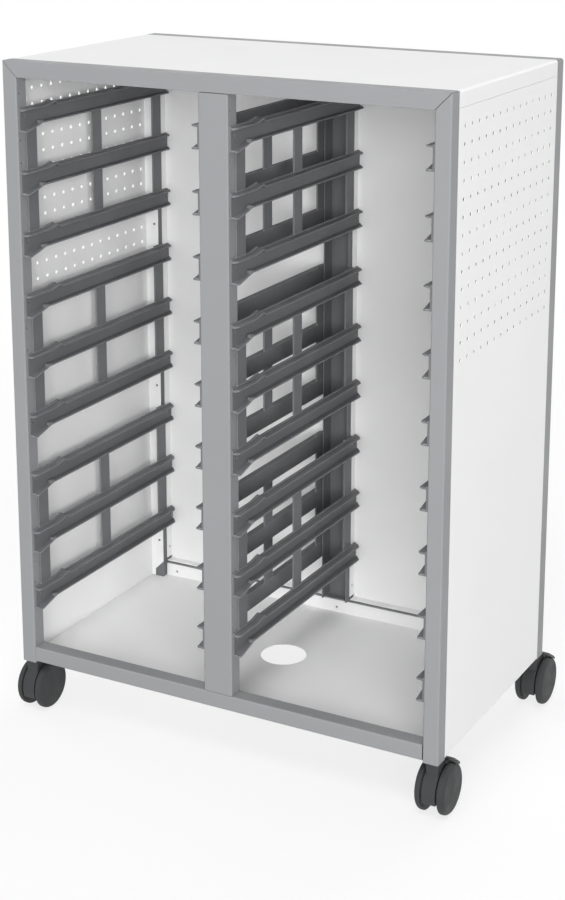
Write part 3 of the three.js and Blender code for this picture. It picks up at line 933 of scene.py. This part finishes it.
def wheel(prefix, side, sign):
    """A wheel turned from its bore, over the groove and the tread, to its dished face."""
    node = f"{prefix}_{side}_wheel"
    low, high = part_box(node)
    radius = (high.z - low.z) / 2
    width = high.x - low.x
    inner = low.x if sign > 0 else high.x
    centre = (low + high) / 2
    step, depth = WHEEL_GROOVE
    inner_centre = (radius - WHEEL_INNER_EASE, step + WHEEL_INNER_EASE)
    inner_corner = arc(inner_centre, WHEEL_INNER_EASE, -90, 0, WHEEL_INNER_STEPS)
    rim = radius - FACE_DROP
    slope = width - FACE_DISH - TREAD_END
    turns = [math.radians(90 * i / SHOULDER_STEPS) for i in range(SHOULDER_STEPS + 1)]
    shoulder = [(rim + FACE_DROP * math.cos(t), TREAD_END + slope * math.sin(t)) for t in turns]
    face = [(rim * s, width - FACE_DISH * s ** 2) for s in FACE_SHARES]
    profile = [
        (0, WHEEL_BORE_DEPTH), (WHEEL_BORE, WHEEL_BORE_DEPTH), (WHEEL_BORE, 0),
        (radius - depth, 0), (radius - depth, step), *inner_corner, *shoulder, *face,
    ]

    def from_axle(a, b, height):
        return Vector((inner + sign * height, centre.y + a, centre.z + b))

    bm = bmesh.new()
    lathe(bm, profile, from_axle, WHEEL_SEGMENTS)
    publish(f"{node}_form", bm, "wheel", node, [node])


def squarish(value):
    """A sine or cosine pushed outward, which makes a round outline squarish."""
    return math.copysign(abs(value) ** BOSS_SQUARE, value)


def hood(prefix):
    """The cover between the wheels, with the boss that takes the stem."""
    node = f"{prefix}_hood"
    low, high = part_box(node)
    wheel_low, wheel_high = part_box(f"{prefix}_left_wheel")
    axle = (wheel_low + wheel_high) / 2
    stem_low, stem_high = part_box(f"{prefix}_stem")
    stem = (stem_low + stem_high) / 2
    radius = (wheel_high.z - wheel_low.z) / 2 - HOOD_TUCK
    trail = axle.y - stem.y
    crown = high.z - axle.z
    neck_front = -trail + NECK_SETBACK
    neck_rear = -trail + NECK_REAR
    meet = math.degrees(math.acos(neck_front / radius))
    outline = [
        *arc((0, 0), radius, 180 + HOOD_SKIRT, meet, HOOD_STEPS),
        (neck_front, crown), (neck_rear, crown), (neck_rear, crown - NECK_HEIGHT),
        (HOOD_REAR, HOOD_REAR_TOP), (HOOD_REAR, -HOOD_BELLY / 2), (HOOD_REAR / 2, -HOOD_BELLY),
        (-HOOD_REAR / 2, -HOOD_BELLY),
    ]
    bm = bmesh.new()
    places = [(axle.y + y, axle.z + z) for y, z in outline]
    prism(bm, places, along_x, low.x + HOOD_SIDE, high.x - HOOD_SIDE)
    ease(bm, PLASTIC_EASE, PLASTIC_EASE_STEPS)
    boss = []
    for i in range(WHEEL_SEGMENTS):
        turn = math.tau * i / WHEEL_SEGMENTS
        across = BOSS_HALF[0] * squarish(math.cos(turn))
        along = BOSS_HALF[1] * squarish(math.sin(turn))
        boss.append((stem.x + across, stem.y + along))
    prism(bm, boss, along_z, high.z - BOSS_HEIGHT, high.z)
    publish(f"{node}_form", bm, "caster", f"{prefix}_swivel", [node])


def stem_piece(prefix):
    """The stem, with a collar that fills the space between the hood and the stile."""
    node = f"{prefix}_stem"
    low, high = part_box(node)
    middle = (low + high) / 2
    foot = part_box(f"{prefix}_hood")[1].z + FIT_GAP
    shoulder = frame_foot - STILE_DROP - FIT_GAP
    profile = [
        (0, low.z), (STEM_RADIUS, low.z), (STEM_RADIUS, foot),
        (COLLAR_RADIUS - COLLAR_EASE, foot), (COLLAR_RADIUS, foot + COLLAR_EASE),
        (COLLAR_RADIUS, shoulder - COLLAR_EASE), (COLLAR_RADIUS - COLLAR_EASE, shoulder),
        (STEM_RADIUS, shoulder), (STEM_RADIUS, high.z - STEM_EASE), (STEM_RADIUS - STEM_EASE, high.z),
        (0, high.z),
    ]

    def from_middle(a, b, height):
        return Vector((middle.x + a, middle.y + b, height))

    bm = bmesh.new()
    lathe(bm, profile, from_middle, STEM_SEGMENTS)
    publish(f"{node}_form", bm, "steel", f"{prefix}_swivel", [node])


def wheel_radius(across, width, radius):
    """The wheel's radius at a distance from its inner face."""
    share = ramp(across, TREAD_END, width - FACE_DISH - TREAD_END)
    return radius - FACE_DROP * (1 - math.sqrt(1 - share ** 2))


def part_way(ends, share):
    """The number at a share of the way from one end to the other."""
    return ends[0] + (ends[1] - ends[0]) * share


def paddle_section(share, half_width, wheel_inner, wheel_width, radius):
    """A loop around the paddle at a share of its length, as (off its middle, radius, angle) points.

    Share 0 is the edge at the stem and 1 the tip; wheel_inner is where the wheels' inner faces are.
    """
    turn = math.radians(part_way(LEVER_ARC, share))
    flare = rounded(ramp(share, *LEVER_FLARE))
    tip = LEVER_END[1] * (1 - rounded(ramp(1 - share, 0, 1 - LEVER_END[0])))
    spread = part_way((LEVER_WAIST, half_width), flare) - tip
    clear = part_way(LEVER_CLEAR, share)
    rake = math.radians(LEVER_RAKE[0]) * (1 - ramp(share, 0, LEVER_RAKE[1]))
    crown_start, crown_end = LEVER_CROWN_SPAN
    upper = []
    under = []
    for i in range(LEVER_COLUMNS + 1):
        x = spread * (2 * i / LEVER_COLUMNS - 1)
        inside = wheel_radius(abs(x) - wheel_inner, wheel_width, radius) + clear
        ear = inside + LEVER_THICKNESS
        crown = 1 - ramp(abs(x), crown_start, crown_end - crown_start) ** LEVER_CROWN_POWER
        upper.append((x, ear + max(radius + LEVER_CROWN - ear, 0) * crown, turn))
        under.append((x, inside, turn - rake))
    return upper + under[::-1]


def brake_lever(prefix):
    """A curved foot paddle that follows the wheels' rims, on two arms and a pivot pin."""
    node = f"{prefix}_brake_lever"
    low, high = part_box(node)
    middle = (low.x + high.x) / 2
    wheel_low, wheel_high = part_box(f"{prefix}_right_wheel")
    axle = (wheel_low + wheel_high) / 2
    pivot = joint_place[f"{node}_press"]
    shape = (
        (high.x - low.x) / 2, wheel_low.x - middle,
        wheel_high.x - wheel_low.x, (wheel_high.z - wheel_low.z) / 2,
    )
    loops = []
    for i in range(LEVER_STEPS + 1):
        loops.append([
            Vector((middle + x, axle.y + r * math.cos(turn), axle.z + r * math.sin(turn)))
            for x, r, turn in paddle_section(i / LEVER_STEPS, *shape)
        ])
    bm = bmesh.new()
    loft(bm, loops)
    ease(bm, PLASTIC_EASE, PLASTIC_EASE_STEPS)
    hood_low, hood_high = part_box(f"{prefix}_hood")
    arm_inner = (hood_high.x - hood_low.x) / 2 + LEVER_GAP
    arm_outer = arm_inner + LEVER_ARM
    arm_top = pivot.z + LEVER_ARM_HEIGHT / 2
    paddle = loops[1][0].y
    arm = rectangle(pivot.y - LEVER_ARM_HEIGHT / 2, paddle, arm_top - LEVER_ARM_HEIGHT, arm_top)
    for sign in (-1, 1):
        prism(bm, arm, along_x, *sorted((middle + sign * arm_inner, middle + sign * arm_outer)))
    rib = [(axle.y + y, axle.z + z) for y, z in LEVER_RIB]
    prism(bm, rib, along_x, middle - LEVER_RIB_HALF, middle + LEVER_RIB_HALF)
    pin = circle((pivot.y, pivot.z), TRUNNION_RADIUS, HOLE_SEGMENTS)
    prism(bm, pin, along_x, middle - arm_inner - LEVER_ARM / 2, middle + arm_inner + LEVER_ARM / 2)
    # The paddle takes the darker finish, painted shade for where it sits under the side panel and stile
    publish(f"{node}_form", bm, "caster", node, [node], "lever")


for prefix in CASTERS:
    for side, sign in SIDES:
        wheel(prefix, side, sign)
    hood(prefix)
    stem_piece(prefix)
    brake_lever(prefix)


# Floor, light and camera

def seen_directly(tree):
    """1 for rays that reach the eye straight, by reflection or through glass, else 0."""
    path = tree.nodes.new("ShaderNodeLightPath")
    total = path.outputs["Is Camera Ray"]
    for name in ("Is Glossy Ray", "Is Transmission Ray"):
        total = joined(tree, "MAXIMUM", total, path.outputs[name])
    return total


def two_faced(tree, share, first, second, output):
    """Send a mix of two shaders to the output, all of the second where the share is 1."""
    blend = tree.nodes.new("ShaderNodeMixShader")
    tree.links.new(share, blend.inputs["Fac"])
    tree.links.new(first, blend.inputs[1])
    tree.links.new(second, blend.inputs[2])
    tree.links.new(blend.outputs["Shader"], tree.nodes[output].inputs["Surface"])


def studio_floor():
    """A wide floor that keeps the object's shadow and glows to white away from it."""
    bm = bmesh.new()
    bmesh.ops.create_grid(bm, x_segments=FLOOR_CELLS, y_segments=FLOOR_CELLS, size=FLOOR_HALF)
    floor = linked("floor", bm)
    material = bpy.data.materials.new("floor_white")
    material.use_nodes = True
    tree = material.node_tree
    shader = tree.nodes["Principled BSDF"]
    seen = seen_directly(tree)
    colour = mixed(tree, seen, linear(FLOOR_BOUNCE), linear(FLOOR_WHITE))
    tree.links.new(colour, shader.inputs["Base Color"])
    shader.inputs["Roughness"].default_value = FLOOR_ROUGHNESS
    shader.inputs["Specular IOR Level"].default_value = 0.0
    glow = tree.nodes.new("ShaderNodeEmission")
    glow.inputs["Color"].default_value = linear(WHITE)
    reach = tree.nodes.new("ShaderNodeVectorMath")
    reach.operation = "LENGTH"
    tree.links.new(tree.nodes.new("ShaderNodeTexCoord").outputs["Object"], reach.inputs[0])
    fade = between(tree, reach.outputs["Value"], FLOOR_GLOW, 1.0, FLOOR_FADE)
    share = joined(tree, "MULTIPLY", seen, fade)
    two_faced(tree, share, shader.outputs["BSDF"], glow.outputs["Emission"], "Material Output")
    floor.data.materials.append(material)


def studio_world():
    """A soft even light on the object, and a white backdrop."""
    world = bpy.data.worlds.new("studio")
    bpy.context.scene.world = world
    world.use_nodes = True
    tree = world.node_tree
    light = tree.nodes["Background"]
    backdrop = tree.nodes.new("ShaderNodeBackground")
    for source, strength in ((light, WORLD_LIGHT), (backdrop, BACKDROP_LIGHT)):
        source.inputs["Color"].default_value = linear(WHITE)
        source.inputs["Strength"].default_value = strength
    sources = (light.outputs["Background"], backdrop.outputs["Background"])
    two_faced(tree, seen_directly(tree), *sources, "World Output")


def soft_box(name, towards, strength):
    """A large soft lamp, far enough away to light the whole object evenly."""
    lamp = bpy.data.lights.new(name, "AREA")
    lamp.shape = "RECTANGLE"
    lamp.size, lamp.size_y = LAMP_SIZE
    lamp.energy = strength * (math.pi * LAMP_DISTANCE) ** 2
    item = bpy.data.objects.new(name, lamp)
    away = Vector(towards).normalized()
    item.location = MIDDLE + away * LAMP_DISTANCE
    item.rotation_euler = away.to_track_quat("Z", "Y").to_euler()
    item.visible_glossy = False
    bpy.context.scene.collection.objects.link(item)


def camera():
    """The camera at the photograph's viewing angle."""
    lens = bpy.data.cameras.new("photo_view")
    lens.sensor_width = CAMERA_SENSOR
    lens.lens = CAMERA_LENS
    lens.shift_x, lens.shift_y = CAMERA_SHIFT
    item = bpy.data.objects.new("photo_view", lens)
    item.location = CAMERA_PLACE
    item.rotation_euler = (math.radians(90 - CAMERA_TILT), 0, math.radians(CAMERA_TURN))
    bpy.context.scene.collection.objects.link(item)
    bpy.context.scene.camera = item


studio_floor()
studio_world()
for lamp_name, (towards, strength) in LAMPS.items():
    soft_box(lamp_name, towards, strength)
camera()
bpy.context.scene.view_settings.view_transform = "Standard"
